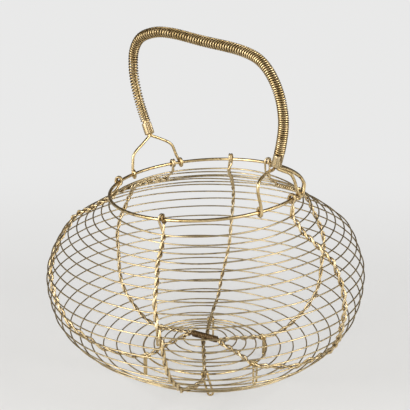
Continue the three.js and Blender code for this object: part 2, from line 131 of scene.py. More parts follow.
def wireMesh(points, beside, radius, sides, closed=False, outside=None, unshadedFrom=0.88):
    # A round wire along a line of points. Each section is a circle square to the line: radius
    # times (cosine of the angle along one cross direction, sine along the other). The cross
    # directions come from the beside directions. Open ends are rounded: the last sections
    # shrink as a quarter circle while they move on. Where an outside direction is given, each
    # vertex gets a mark of painted shade: 0 where it faces that way, growing to 1 on the flanks.
    points = np.asarray(points, float)
    if closed:
        tangent = unit(np.roll(points, -1, axis=0) - np.roll(points, 1, axis=0))
    else:
        tangent = unit(np.gradient(points, axis=0))
    first = unit(np.cross(np.broadcast_to(beside, points.shape), tangent))
    second = np.cross(tangent, first)
    size = np.full(len(points), radius)
    if not closed:
        bow = np.radians(wireFacts["endBow"])
        ends = ((bowCount, bowCount), (0, 0))
        startCentre = points[0] - np.outer(np.sin(bow) * radius, tangent[0])
        endCentre = points[-1] + np.outer(np.sin(bow[::-1]) * radius, tangent[-1])
        points = np.vstack([startCentre, points, endCentre])
        first, second = np.pad(first, ends, mode="edge"), np.pad(second, ends, mode="edge")
        size = np.concatenate([radius * np.cos(bow), size, radius * np.cos(bow[::-1])])
        outside = None if outside is None else np.pad(outside, ends, mode="edge")
    angle = np.arange(sides) * turnRound / sides
    ring = np.cos(angle)[None, :, None] * first[:, None] + np.sin(angle)[None, :, None] * second[:, None]
    vertices = (points[:, None] + size[:, None, None] * ring).reshape(-1, 3)
    marks = np.zeros(len(vertices))
    if outside is not None:
        facing = np.sum(ring * outside[:, None], axis=2)
        marks = np.clip((unshadedFrom - facing) / wireFacts["shadeFade"], 0, 1).reshape(-1)
    return vertices, gridFaces(len(points), sides, closed), marks


def gridFaces(rows, sides, closed):
    # Four-sided faces between neighbouring sections, and one flat face at each open end
    i = np.arange(rows if closed else rows - 1)[:, None]
    j = np.arange(sides)[None, :]
    a = i * sides + j
    b = i * sides + (j + 1) % sides
    c = ((i + 1) % rows) * sides + (j + 1) % sides
    d = ((i + 1) % rows) * sides + j
    faces = np.stack([a, b, c, d], axis=-1).reshape(-1, 4).tolist()
    if not closed:
        faces.append(list(range(sides - 1, -1, -1)))
        faces.append(list(range((rows - 1) * sides, rows * sides)))
    return faces


def besideDirections(line):
    # Cross direction carried along the line: each step takes away what points along the line. The
    # first one is square to a direction that no wire here starts along.
    tangent = unit(np.gradient(line, axis=0))
    beside = np.empty_like(line)
    current = np.cross(tangent[0], [0.3, 0.2, 0.9])
    for k in range(len(line)):
        current = current - tangent[k] * (current @ tangent[k])
        current = current / np.linalg.norm(current)
        beside[k] = current
    return beside


def joined(parts):
    # Several meshes as one: each part's faces count on from the vertices before it
    vertices, faces, marks, start = [], [], [], 0
    for partVertices, partFaces, partMarks in parts:
        vertices.append(partVertices)
        marks.append(partMarks)
        faces.extend([[v + start for v in face] for face in partFaces])
        start += len(partVertices)
    return np.vstack(vertices), faces, np.concatenate(marks)


def addPiece(name, parts, material, body, nodes):
    # One object from its parts. Their marks become the painted shade and darkening on its points.
    vertices, faces, marks = joined(parts)
    piece = bpy.data.objects.new(name, makeMesh(name, vertices, faces))
    bpy.context.scene.collection.objects.link(piece)
    piece.data.materials.append(material)
    if marks.any():
        shadeAndDarkening = piece.data.attributes.new("shadeAndDarkening", "FLOAT", "POINT")
        shadeAndDarkening.data.foreach_set("value", marks.astype(np.float32))
    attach(piece, body)
    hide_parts(*nodes)


# Materials. A noise is its scale, its detail and its roughness. The specks' scale is each metal's
# own. A band is where in the noise one colour turns into the other.
metalFacts = {
    "patches": (90.0, 3.0, 0.55),
    "patchBand": (0.35, 0.65),
    "specks": (4.0, 0.6),
    "speckBand": (0.55, 0.72),
    "skin": (420.0, 3.0, 0.6),
    "skinRange": (-0.08, 0.14),
    "bumps": (1100.0, 4.0, 0.6),
    "bumpDistance": 0.0002,
    # Colour of the painted shade between wires and turns, also used to darken some parts all over
    "shadeAndDarkening": (0.14, 0.078, 0.022),
}


def metal(name, bright, dull, dark, roughness, speckScale, bumpStrength):
    # Old wire: two shades of the metal in soft patches, darker specks, painted shade and plain
    # darkening where a piece has them, and a fine rough skin
    material = bpy.data.materials.new(name)
    material.use_nodes = True
    nodes = material.node_tree.nodes
    links = material.node_tree.links
    shader = nodes["Principled BSDF"]
    shader.inputs["Metallic"].default_value = 1.0
    coordinates = nodes.new("ShaderNodeTexCoord")

    def noise(scale, detail, roughnessOfNoise):
        node = nodes.new("ShaderNodeTexNoise")
        node.inputs["Scale"].default_value = scale
        node.inputs["Detail"].default_value = detail
        node.inputs["Roughness"].default_value = roughnessOfNoise
        links.new(coordinates.outputs["Object"], node.inputs["Vector"])
        return node.outputs["Fac"]

    def ramp(source, band, lowColour, highColour):
        node = nodes.new("ShaderNodeValToRGB")
        for element, position, colour in zip(node.color_ramp.elements, band, (lowColour, highColour)):
            element.position = position
            element.color = (*colour, 1)
        links.new(source, node.inputs["Fac"])
        return node.outputs["Color"]

    def mixed(factor, base, colour):
        node = nodes.new("ShaderNodeMix")
        node.data_type = "RGBA"
        links.new(factor, node.inputs["Factor"])
        links.new(base, node.inputs["A"])
        node.inputs["B"].default_value = (*colour, 1)
        return node.outputs["Result"]

    patches = ramp(noise(*metalFacts["patches"]), metalFacts["patchBand"], dull, bright)
    specks = ramp(noise(speckScale, *metalFacts["specks"]), metalFacts["speckBand"], (0, 0, 0), (1, 1, 1))
    # The attribute holds painted shade, and plain darkening on some parts
    shadeAndDarkening = nodes.new("ShaderNodeAttribute")
    shadeAndDarkening.attribute_name = "shadeAndDarkening"
    shade = mixed(shadeAndDarkening.outputs["Fac"], mixed(specks, patches, dark), metalFacts["shadeAndDarkening"])
    links.new(shade, shader.inputs["Base Color"])
    smoother, rougher = metalFacts["skinRange"]
    rough = nodes.new("ShaderNodeMapRange")
    rough.inputs["To Min"].default_value = roughness + smoother
    rough.inputs["To Max"].default_value = roughness + rougher
    links.new(noise(*metalFacts["skin"]), rough.inputs["Value"])
    links.new(rough.outputs["Result"], shader.inputs["Roughness"])
    bump = nodes.new("ShaderNodeBump")
    bump.inputs["Strength"].default_value = bumpStrength
    bump.inputs["Distance"].default_value = metalFacts["bumpDistance"]
    links.new(noise(*metalFacts["bumps"]), bump.inputs["Height"])
    links.new(bump.outputs["Normal"], shader.inputs["Normal"])
    return material


# Each metal: bright, dull and dark colour, roughness, scale of the specks, strength of the bump
metals = {
    "wireMetal": ((0.73, 0.575, 0.325), (0.49, 0.36, 0.165), (0.15, 0.085, 0.03), 0.36, 260.0, 0.35),
    "ribMetal": ((0.74, 0.61, 0.385), (0.55, 0.42, 0.22), (0.19, 0.12, 0.05), 0.44, 300.0, 0.4),
    "hoopMetal": ((0.56, 0.45, 0.26), (0.36, 0.275, 0.15), (0.15, 0.10, 0.05), 0.38, 240.0, 0.35),
    "sleeveMetal": ((0.60, 0.49, 0.31), (0.43, 0.335, 0.185), (0.14, 0.085, 0.035), 0.46, 420.0, 0.4),
    "hubMetal": ((0.22, 0.15, 0.08), (0.14, 0.09, 0.045), (0.06, 0.035, 0.02), 0.55, 320.0, 0.6),
}
madeMetals = [metal(name, *values) for name, values in metals.items()]
wireMetal, ribMetal, hoopMetal, sleeveMetal, hubMetal = madeMetals
print("materials made")


# Rings. The outline is radius and height above the foot ring. A wave is its count round the ring,
# its shift for each seed and its size.
ringFacts = {
    "centre": (0.021, 0.0),
    "footLength": 20.0,
    "outline": [(56, 0), (79, 2.8), (101, 9.3), (129, 34.3), (140, 72),
                (131.5, 104), (119.5, 117), (99, 129.5), (84.5, 140.2)],
    "hoops": 20,
    "crowding": 0.06,
    "neckLean": 2.2,
    "neckTip": 1.5,
    "kickRadii": (19.5, 28.5, 37.5, 46.5),
    "kickHeight": 9.0,
    "rimRadius": 84.0,
    "rimRise": 11.3,
    "rimLean": 4.0,
    "rimWire": 2.8,
    "neckWire": 1.4,
    "footRingWire": 1.6,
    "hoopWire": 1.2,
    "hoopSway": 0.45,
    "kickSway": 0.3,
    "kickSeed": 30,
    "swayAcross": 0.5,
    "radiusWaves": ((2, 1.7, 1.0), (5, 2.9, 0.6)),
    "heightWaves": ((3, 2.3, 1.0), (7, 0.9, 0.5)),
    "sag": 2.2,
    "sagShare": 0.22,
    "sagReach": 0.12,
    "sagAzimuth": 300.0,
    "sagPower": 4,
}


def makeRing(radius, height, wire, lean=0.0, tip=0.0, share=0.0, sway=0.0, seed=0, sag=0.0):
    # A leaning circle. The tip turns it about X and the lean about Y. The share is its place
    # along the outline. The sway and the sag say how far onRing bends it.
    c, s = math.cos(math.radians(tip)), math.sin(math.radians(tip))
    tipTurn = np.array([[1, 0, 0], [0, c, -s], [0, s, c]])
    c, s = math.cos(math.radians(lean)), math.sin(math.radians(lean))
    leanTurn = np.array([[c, 0, -s], [0, 1, 0], [s, 0, c]])
    return {"radius": radius, "height": height, "wire": wire, "turn": leanTurn @ tipTurn, "share": share,
            "sway": sway, "seed": seed, "sag": sag}


def outlinePoints(points, perPart=100):
    # Curve through the outline with slopes of half the distance between each point's neighbours
    p = np.asarray(points, float)
    p = np.vstack([p[:1], p, p[-1:]])
    p0, p1, p2, p3 = (p[k:len(p) - 3 + k] for k in range(4))
    return np.vstack([cubics(p1, p2, (p2 - p0) / 2, (p3 - p1) / 2, perPart), p[-1:]])


def slowWaves(azimuth, waves, seed):
    # Sum of the waves: size times the sine of count times the angle plus the seed's shift
    return sum(size * np.sin(count * azimuth + shift * seed) for count, shift, size in waves)


def onRing(ring, azimuth, outward=0.0, upward=0.0):
    # Points beside a ring at angles round it, outward from it and along its axis. The ring is a
    # circle with a slight hand-bent sway of slow waves, and the low hoops also sag at the front
    # right, by a power of the cosine of the angle from there.
    azimuth, outward, upward = np.broadcast_arrays(np.asarray(azimuth, float), outward, upward)
    wave = slowWaves(azimuth, ringFacts["radiusWaves"], ring["seed"])
    lift = slowWaves(azimuth, ringFacts["heightWaves"], ring["seed"])
    radius = ring["radius"] + outward + ringFacts["swayAcross"] * ring["sway"] * wave
    towardsSag = np.clip(np.cos(azimuth - math.radians(ringFacts["sagAzimuth"])), 0, 1)
    along = upward + ring["sway"] * lift - ring["sag"] * towardsSag ** ringFacts["sagPower"]
    local = np.stack([radius * np.cos(azimuth), radius * np.sin(azimuth), along], axis=-1)
    return local @ ring["turn"].T + np.array([*ringFacts["centre"], ring["height"]])


def alongRing(ring, azimuth):
    # Direction along a ring at angles round it
    azimuth = np.asarray(azimuth, float)
    return np.stack([-np.sin(azimuth), np.cos(azimuth), 0 * azimuth], axis=-1) @ ring["turn"].T


def buildRings(facts):
    # The hoops of the raised bottom lie on a quarter of a cosine wave. The foot ring, the wall's
    # hoops and the neck ring lie at shares of the outline's length, crowded towards the top.
    rings = []
    for k, radius in enumerate(facts["kickRadii"]):
        rise = facts["kickHeight"] * math.cos(math.pi / 2 * radius / facts["outline"][0][0])
        rings.append(makeRing(radius, facts["footLength"] + rise, facts["hoopWire"],
                              sway=facts["kickSway"], seed=facts["kickSeed"] + k))
    outline = outlinePoints(facts["outline"])
    total = lengthsAlong(outline)[-1]
    for k in range(facts["hoops"] + 2):
        even = k / (facts["hoops"] + 1)
        share = even + facts["crowding"] * math.sin(math.pi * even)
        radius, height = atLengths(outline, np.array([share * total]))[0]
        wire = facts["neckWire"] if k > facts["hoops"] else facts["hoopWire"]
        sway = facts["hoopSway"]
        sag = facts["sag"] * math.exp(-((share - facts["sagShare"]) / facts["sagReach"]) ** 2)
        if k == 0:
            wire, sway, sag = facts["footRingWire"], 0.0, 0.0
        rings.append(makeRing(radius, facts["footLength"] + height, wire, facts["neckLean"] * share**2,
                              facts["neckTip"] * share**2, share, sway, k, sag))
    return rings


rings = buildRings(ringFacts)
kickCount = len(ringFacts["kickRadii"])
footRing = rings[kickCount]
neckRing = rings[-1]
neckPlace = len(rings) - 1
rimHeight = neckRing["height"] + ringFacts["rimRise"]
rimRing = makeRing(ringFacts["rimRadius"], rimHeight, ringFacts["rimWire"], ringFacts["rimLean"])


def addRing(name, ring, material, steps, sides, shadeAndDarkening=0.0):
    # The painted shade lies on the upper side: the rim gets a dark top edge
    azimuth = np.arange(steps) * turnRound / steps
    axis = ring["turn"][:, 2]
    vertices, faces, marks = wireMesh(onRing(ring, azimuth), axis, ring["wire"] / 2, sides, closed=True,
                                      outside=np.tile(-axis, (steps, 1)), unshadedFrom=-0.3)
    addPiece(name + "_bent", [(vertices, faces, shadeAndDarkening * marks)], material, "basket", [name])


for k in range(kickCount):
    addRing(f"bottom_hoop_{k + 1}", rings[k], hoopMetal, steps=120, sides=10)
addRing("foot_ring", footRing, wireMetal, steps=180, sides=12)
for k in range(ringFacts["hoops"]):
    addRing(f"body_hoop_{k + 1:02d}", rings[kickCount + 1 + k], hoopMetal, steps=288, sides=10)
addRing("neck_ring", neckRing, hoopMetal, steps=288, sides=12)
# Painted shade along the rim's top edge
addRing("rim_ring", rimRing, wireMetal, steps=288, sides=18, shadeAndDarkening=0.6)
print("rings made")


# Ribs. A rib has one angle for each of the shares of the outline's length. A wound rib runs along
# the hoop that lies so many below the neck, towards its windTo angle, in so many turns. Above it
# the strands keep their spread from the middle at each ring.
ribFacts = {
    "shares": (0, 0.25, 0.5, 0.75, 0.92, 1),
    "wire": 1.8,
    "sides": 8,
    "twistGap": 0.1,
    "strandGap": 0.06,
    "stepsPerGap": 30,
    "rest": 0.78,
    "restMost": 0.18,
    "softEnds": 0.25,
    "swellLength": 1.9,
    "woundShare": 0.92,
    "woundFrom": 0.04,
    "woundGap": 0.05,
    "woundSteps": 24,
    "twistCut": 4,
    "besideHoop": 1.5,
    "throat": 0.62,
    "throatGap": 0.2,
    "throatSteps": 6,
    # Amount of painted shade between a rib's two strands
    "shadeAndDarkening": 0.5,
    "hookDarkeningSteps": 8,
    "hubLength": 28.0,
    "hubThickness": 5.2,
    "hubAzimuth": -30.0,
    "hubSpread": 1.2,
}
ribs = {
    "front": {"angles": (270, 259, 256.5, 252.5, 248.6, 246.3), "hook": 244.6, "footLean": 5, "wire": 2.0},
    "back": {"angles": (84.5, 82, 79.6, 78.1, 76.7, 75.7), "hook": 74, "footLean": 0},
    "back_left": {"angles": (139.5, 134, 129, 125, 131, 131), "hook": 111.7, "footLean": 0,
                  "below": 2, "turns": 1.5, "windTo": 110.8, "spread": (-1.3, 1.3)},
    "back_right": {"angles": (18, 28, 35, 41, 42, 42), "hook": 48, "footLean": 0,
                   "below": 4, "turns": 4, "windTo": 53.5, "spread": (0.95, 0.95, 0.95, 0.95)},
    "left": {"angles": (203, 187, 178, 162, 165, 168), "hook": 158, "footLean": 0, "wire": 2.0},
    "right": {"angles": (320, 333, 325, 324.5, 325, 327.5), "hook": 328.5, "footLean": 0, "wire": 2.0},
}
hubAngle = math.radians(ribFacts["hubAzimuth"])
hubDirection = np.array([math.cos(hubAngle), math.sin(hubAngle), 0.0])
hubAcross = np.array([-hubDirection[1], hubDirection[0], 0.0])
hubHeight = ringFacts["footLength"] + ringFacts["kickHeight"]
hubEnd = (ribFacts["hubLength"] + ribFacts["wire"]) / 2
hubSide = (ribFacts["hubThickness"] + ribFacts["wire"]) / 2
hubPlaces = {
    "front": (0, -hubSide), "back": (0, hubSide),
    "back_left": (-hubEnd, ribFacts["hubSpread"]), "left": (-hubEnd, -ribFacts["hubSpread"]),
    "back_right": (hubEnd, ribFacts["hubSpread"]), "right": (hubEnd, -ribFacts["hubSpread"]),
}


def wallNormals(rings, rimRing):
    # Shares outward and upward of the direction out of the wall at each ring
    radius = np.array([r["radius"] for r in rings + [rimRing]])
    height = np.array([r["height"] for r in rings + [rimRing]])
    count = len(rings)
    before = np.maximum(np.arange(count) - 1, 0)
    after = np.arange(count) + 1
    return unit(np.stack([height[after] - height[before], radius[before] - radius[after]], axis=1))


wall = wallNormals(rings, rimRing)


def ribAngle(rib, share):
    # Angle of a rib at a share of the outline: it eases from one given angle to the next
    shares = ribFacts["shares"]
    k = min(max(sum(1 for value in shares if value < share), 1), len(shares) - 1)
    part = (share - shares[k - 1]) / (shares[k] - shares[k - 1])
    smooth = part * part * (3 - 2 * part)
    return math.radians(rib["angles"][k - 1] * (1 - smooth) + rib["angles"][k] * smooth)


def woundEnd(azimuth, rib):
    # Angle at which a wire wound along a hoop leaves it
    return azimuth + (math.radians(rib["windTo"]) - azimuth) * ribFacts["woundShare"]


def crossingAngle(start, end, radius):
    # Angle at which the straight line from start to end crosses a circle round the middle
    line = end - start
    a, b, c = line @ line, 2 * start @ line, start @ start - radius * radius
    t = (-b - math.sqrt(max(b * b - 4 * a * c, 0.0))) / (2 * a)
    x, y = start + line * t
    return math.atan2(y, x)


def ribKnots(rib, hubPlace):
    # Centre of the rib, the direction out of the wall and the angle, at the hub and at each ring.
    # Over the bottom the rib runs straight from its foot to the hub. Above the hoop that it is
    # wound along, it leans over to its hook.
    footAngle = math.radians(rib["angles"][0])
    footPoint = footRing["radius"] * np.array([math.cos(footAngle), math.sin(footAngle)])
    hubPoint = hubDirection * hubPlace[0] + hubAcross * hubPlace[1]
    woundPlace = neckPlace - rib.get("below", 0)
    centres, normals, angles = [hubPoint + [0, 0, hubHeight]], [np.array([0, 0, -1.0])], [0.0]
    for k, ring in enumerate(rings):
        if k < kickCount:
            azimuth = crossingAngle(footPoint, hubPoint[:2], ring["radius"])
        elif k > woundPlace:
            start = woundEnd(ribAngle(rib, rings[woundPlace]["share"]), rib)
            climbed = (k - woundPlace) / (neckPlace - woundPlace)
            azimuth = start + (math.radians(rib["hook"]) - start) * climbed
        else:
            azimuth = ribAngle(rib, ring["share"])
        centres.append(onRing(ring, azimuth))
        local = np.array([wall[k][0] * math.cos(azimuth), wall[k][0] * math.sin(azimuth), wall[k][1]])
        normals.append(local @ ring["turn"].T)
        angles.append(azimuth)
    return np.array(centres), np.array(normals), angles


def twisted(centres, normals, hoopWires, wire, facts, side):
    # One of two strands that turn half round each other in each gap, so that they change places
    # at each hoop. It lies off the smooth line of centres by its radius times (cosine of the
    # twist angle outward, sine across). The angle rests near the knots, and the radius swells
    # there as a bell curve to let the hoop through.
    steps = facts["stepsPerGap"]
    line = smoothRoute(centres, steps)
    count = len(centres)
    place = np.linspace(0, count - 1, (count - 1) * steps + 1)
    outward = unit(np.stack([np.interp(place, np.arange(count), normals[:, k]) for k in range(3)], axis=1))
    tangent = unit(np.gradient(line, axis=0))
    outward = unit(outward - tangent * np.sum(outward * tangent, axis=1, keepdims=True))
    across = np.cross(tangent, outward)
    gap = np.minimum(place.astype(int), count - 2)
    gapLength = np.linalg.norm(np.diff(centres, axis=0), axis=1)[gap]
    part = place - gap
    rest = np.minimum(facts["rest"] / gapLength, facts["restMost"])
    ease = np.clip((part - rest) / (1 - 2 * rest), 0, 1)
    soft = facts["softEnds"]
    ease = (1 - soft) * ease + soft * ease * ease * (3 - 2 * ease)
    angle = math.pi * (gap + ease) + (0 if side > 0 else math.pi)
    fromKnot = np.minimum(part, 1 - part) * gapLength
    hoopWire = np.asarray(hoopWires)[np.where(part < 0.5, gap, gap + 1)]
    closed = (wire + facts["twistGap"]) / 2
    opened = np.where(hoopWire > 0, (hoopWire + wire) / 2 + facts["strandGap"], closed)
    radius = closed + (opened - closed) * np.exp(-(fromKnot / facts["swellLength"]) ** 2)
    away = np.cos(angle)[:, None] * outward + np.sin(angle)[:, None] * across
    return line + radius[:, None] * away, across, away


def plainPart(points, beside):
    # A stretch of wire with one cross direction and no grime
    return points, np.tile(beside, (len(points), 1)), points * 0


def woundParts(rib, angles, wire, side, facts):
    # A helix round the hoop: its reach times (cosine of the turn angle outward, sine along the
    # hoop's axis). Then up beside the other strand, outside and inside of the hoops by turns.
    woundPlace = neckPlace - rib["below"]
    ring = rings[woundPlace]
    start = angles[woundPlace + 1]
    reach = (ring["wire"] + wire) / 2 + facts["woundGap"]
    face = 0 if (woundPlace % 2 == 0) == (side > 0) else math.pi
    steps = int(rib["turns"] * facts["woundSteps"])
    angle = np.linspace(0, turnRound * rib["turns"] + math.pi / 2, steps)
    share = facts["woundFrom"] + (1 - facts["woundFrom"]) * np.linspace(0, 1, steps)
    place = start + (woundEnd(start, rib) - start) * share
    wound = onRing(ring, place, reach * np.cos(angle + face), reach * np.sin(angle + face))
    away = unit(wound - onRing(ring, place))
    up = []
    for k, spread in zip(range(woundPlace + 1, len(rings)), rib["spread"]):
        outward = facts["besideHoop"] if (k % 2 == 0) == (side > 0) else -facts["besideHoop"]
        up.append(onRing(rings[k], angles[k + 1] + side * spread / rings[k]["radius"], outward))
    return [(wound, away, away), plainPart(np.array(up), alongRing(rimRing, math.radians(rib["hook"])))]


# Hooks. The sweeps and shifts are those of strand a and strand b.
loopFacts = {"steps": 36, "gap": 0.08}
hookFacts = {
    "front": {"sweep": (330, 360), "shift": (2.4, 4.6),
              "stand": 1.8, "width": 0.8, "tail": 0.4, "shadeAndDarkening": 0.85},
    "back": {"sweep": (290, 260), "shift": (1.2, 0.6),
             "stand": 2.4, "width": 0.4, "tail": 1.2, "shadeAndDarkening": 0.5},
    "back_left": {"sweep": (270, 300), "shift": (1.4, 0.4),
                  "stand": 1.2, "width": 0.4, "tail": 1.0, "shadeAndDarkening": 0.4},
    "back_right": {"sweep": (320, 310), "shift": (-6.0, -6.0),
                   "stand": 2.2, "width": 1.4, "tail": 0.4, "shadeAndDarkening": 0.4},
    "left": {"sweep": (300, 280), "shift": (3.4, 3.4),
             "stand": 2.0, "width": 1.2, "tail": 0.6, "shadeAndDarkening": 0.4},
    "right": {"sweep": (270, 290), "shift": (-2.4, -3.0),
              "stand": 1.6, "width": 0.8, "tail": 1.0, "shadeAndDarkening": 0.6},
}


def loopOver(ring, azimuth, face, side, wire, hook):
    # Round the rim from the outer or inner side, over the top: angle grows from 0 to the sweep,
    # measured from the side of arrival, while the loop moves along the rim by the shift. The
    # loop stands up from the rim by its stand, and its loose end leaves it by its tail.
    strand = 0 if side > 0 else 1
    sweep = math.radians(hook["sweep"][strand])
    angle = np.linspace(0, sweep, loopFacts["steps"])
    reach = (ring["wire"] + wire) / 2 + loopFacts["gap"]
    above = np.clip(np.sin(angle), 0, 1)
    past = np.clip((angle - math.pi) / (sweep - math.pi), 0, 1)
    outward = face * (reach + hook["width"] * above) * np.cos(angle) - face * hook["tail"] * past
    upward = (reach + hook["stand"] * above) * np.sin(angle)
    along = (side * wire / 2 + hook["shift"][strand] * angle / turnRound) / ring["radius"]
    return onRing(ring, azimuth + along, outward, upward)


def ribStrand(name, rib, side, facts):
    # Twisted up the wall, then once round the rim. A wound rib leaves the twist early and runs
    # along its hoop first, the others go up to the rim through a narrow throat.
    centres, normals, angles = ribKnots(rib, hubPlaces[name])
    hoopWires = [0.0] + [ring["wire"] for ring in rings]
    wire = rib.get("wire", facts["wire"])
    last = neckPlace - rib.get("below", 0) + 2
    twist = twisted(centres[:last], normals[:last], hoopWires[:last], wire, facts, side)
    hook = hookFacts[name]
    hookAngle = math.radians(rib["hook"])
    beside = alongRing(rimRing, hookAngle)
    face = side * (1 if neckPlace % 2 == 0 else -1)
    over = loopOver(rimRing, hookAngle, face, side, wire, hook)
    if "below" in rib:
        cut = tuple(group[:-facts["twistCut"]] for group in twist)
        parts = [cut, *woundParts(rib, angles, wire, side, facts)]
    else:
        low, high = centres[last - 1], onRing(rimRing, hookAngle, 0, -rimRing["wire"])
        throat = low + (high - low) * facts["throat"] + side * (wire / 2 + facts["throatGap"]) * beside
        rise = smoothRoute(np.vstack([twist[0][-1], throat, over[0]]), facts["throatSteps"])[1:-1]
        parts = [twist, plainPart(rise, beside)]
    parts.append(plainPart(over, beside))
    line, beside, away = (np.vstack(group) for group in zip(*parts))
    vertices, faces, marks = wireMesh(line, beside, wire / 2, facts["sides"], outside=away, unshadedFrom=0.0)
    # Painted shade on the side of each strand that faces the other strand, or the hoop where it is wound
    # round one
    marks = facts["shadeAndDarkening"] * marks
    # Along the loop over the rim the wire is darker all round by the hook's amount, growing over its first
    # steps
    growing = np.repeat(np.minimum(np.arange(len(over)) / facts["hookDarkeningSteps"], 1), facts["sides"])
    marks[-len(growing):] = np.maximum(marks[-len(growing):], hook["shadeAndDarkening"] * growing)
    return vertices, faces, marks


for name, rib in ribs.items():
    for letter, side in (("a", 1), ("b", -1)):
        strand = ribStrand(name, rib, side, ribFacts)
        addPiece(f"rib_{name}_strand_{letter}", [strand], ribMetal, "basket",
                 [f"rib_{name}_wire_{letter}"])


# Lacing. A strand has its number of turns and its first angle.
lacingFacts = {
    "from": 133.5,
    "to": 156.5,
    "below": 2,
    "wire": 1.8,
    "gap": 0.1,
    "strands": ((4.0, 0.0), (3.2, 2.4)),
    "stepsPerTurn": 40,
    "sides": 8,
}


def lacingStrand(turns, phase, facts):
    # A helix with a long pitch round the hoop two below the neck: its reach times (cosine of the
    # turn angle outward, sine along the hoop's axis)
    ring = rings[neckPlace - facts["below"]]
    share = np.linspace(0, 1, int(turns * facts["stepsPerTurn"]))
    angle = phase + share * turns * turnRound
    reach = (ring["wire"] + facts["wire"]) / 2 + facts["gap"]
    place = np.radians(facts["from"] + (facts["to"] - facts["from"]) * share)
    line = onRing(ring, place, reach * np.cos(angle), reach * np.sin(angle))
    away = unit(line - onRing(ring, place))
    # Painted shade on the flanks and on the side against the hoop
    return wireMesh(line, away, facts["wire"] / 2, facts["sides"], outside=away, unshadedFrom=0.4)


strands = [lacingStrand(turns, phase, lacingFacts) for turns, phase in lacingFacts["strands"]]
addPiece("lacing_wire_wound", strands, ribMetal, "basket", ["lacing_wire"])
print("ribs made")


# Hub binding
hubFacts = {
    "inset": 0.6,
    "coreRadius": 1.9,
    "coreSteps": 24,
    "coreSides": 16,
    "wire": 1.5,
    "pitch": 1.62,
    "bedding": 0.3,
    "stepsPerTurn": 18,
    "sides": 10,
}


def hubParts(facts):
    # A straight core of bundled wire, and a close helix of dark wire round it: its reach times
    # (cosine of the turn angle across, sine upward), while it moves along
    half = ribFacts["hubLength"] / 2 - facts["inset"]
    middle = [0, 0, hubHeight]
    core = np.linspace(-half, half, facts["coreSteps"])[:, None] * hubDirection + middle
    woundHalf = half - facts["wire"] / 2
    turns = 2 * woundHalf / facts["pitch"]
    along = np.linspace(-woundHalf, woundHalf, int(turns * facts["stepsPerTurn"]))
    angle = np.linspace(0, turns * turnRound, len(along))
    reach = facts["coreRadius"] + facts["wire"] * facts["bedding"]
    around = np.cos(angle)[:, None] * hubAcross + np.sin(angle)[:, None] * np.array([0, 0, 1.0])
    helix = along[:, None] * hubDirection + reach * around + middle
    # The helix gets full painted shade on its flanks, between its close turns
    return [wireMesh(core, hubAcross, facts["coreRadius"], facts["coreSides"]),
            wireMesh(helix, around, facts["wire"] / 2, facts["sides"], outside=around)]


addPiece("hub_binding", hubParts(hubFacts), hubMetal, "basket", ["hub_bar"])


# Feet
footFacts = {
    "wire": 1.9,
    "width": 4.6,
    "gap": 0.05,
    "hookFrom": 200,
    "hookSteps": 14,
    "legFrom": 0.1,
    "legSteps": 8,
    "bendSteps": 17,
    "sides": 10,
}


def footLine(azimuth, lean, facts):
    # A hairpin: each leg hooks over the foot ring and the two join in a half circle at the floor
    reach = (ringFacts["footRingWire"] + facts["wire"]) / 2 + facts["gap"]
    half = facts["width"] / 2
    hook = np.radians(np.linspace(facts["hookFrom"], 0, facts["hookSteps"]))
    along = alongRing(footRing, azimuth)
    over = onRing(footRing, azimuth, reach * np.cos(hook), reach * np.sin(hook))
    end = over[-1] + lean * along
    end[2] = facts["wire"] / 2 + half
    down = over[-1] + np.linspace(facts["legFrom"], 1, facts["legSteps"])[:, None] * (end - over[-1])
    leg = np.vstack([over, down])
    turn = np.radians(np.linspace(0, 180, facts["bendSteps"]))[1:-1]
    bend = down[-1] - half * np.outer(np.cos(turn), along) - half * np.outer(np.sin(turn), [0, 0, 1.0])
    return np.vstack([leg - half * along, bend, (leg + half * along)[::-1]])


for name, rib in ribs.items():
    line = footLine(math.radians(rib["angles"][0]), rib["footLean"], footFacts)
    mesh = wireMesh(line, besideDirections(line), footFacts["wire"] / 2, footFacts["sides"])
    addPiece(f"foot_{name}_bend", [mesh], wireMetal, "basket", [f"foot_{name}"])
print("hub and feet made")


# Bail. The route of the grip is along and above the line between the forks. An arm's shape goes
# from the grip to the eye: share of the way across, and share of the height that is left.
bailFacts = {
    "wire": 2.6,
    "spacing": 2.68,
    "sides": 14,
    "eyeGap": 0.15,
    "eyeStretch": 1.2,
    "eyeStepsPerTurn": 40,
    "armStepsPerKnot": 30,
    "armStep": 1.0,
    "gripStepsPerKnot": 120,
    "gripStep": 1.5,
    "buriedFrom": 3.0,
    "triangleFrom": 12.0,
    "pairInward": 0.77,
    "thirdOutward": 2.34,
    # Painted shade on the wires inside the winding: share of the winding's length and the amount there
    "shadeAndDarkening": ((0.0, 0.1), (0.22, 0.15), (0.3, 0.5), (0.68, 0.6), (0.8, 0.9), (1.0, 0.9)),
    "route": [(-85.5, 29.5), (-90.5, 42), (-97, 58.5), (-101.5, 76), (-102.5, 90), (-99.5, 107),
              (-89.5, 119.5), (-68.5, 127), (-46.5, 128.5), (-5.5, 125.5), (42, 122), (61, 117),
              (73, 107.5), (83, 89.5), (86, 70), (82.5, 50), (75, 29)],
}
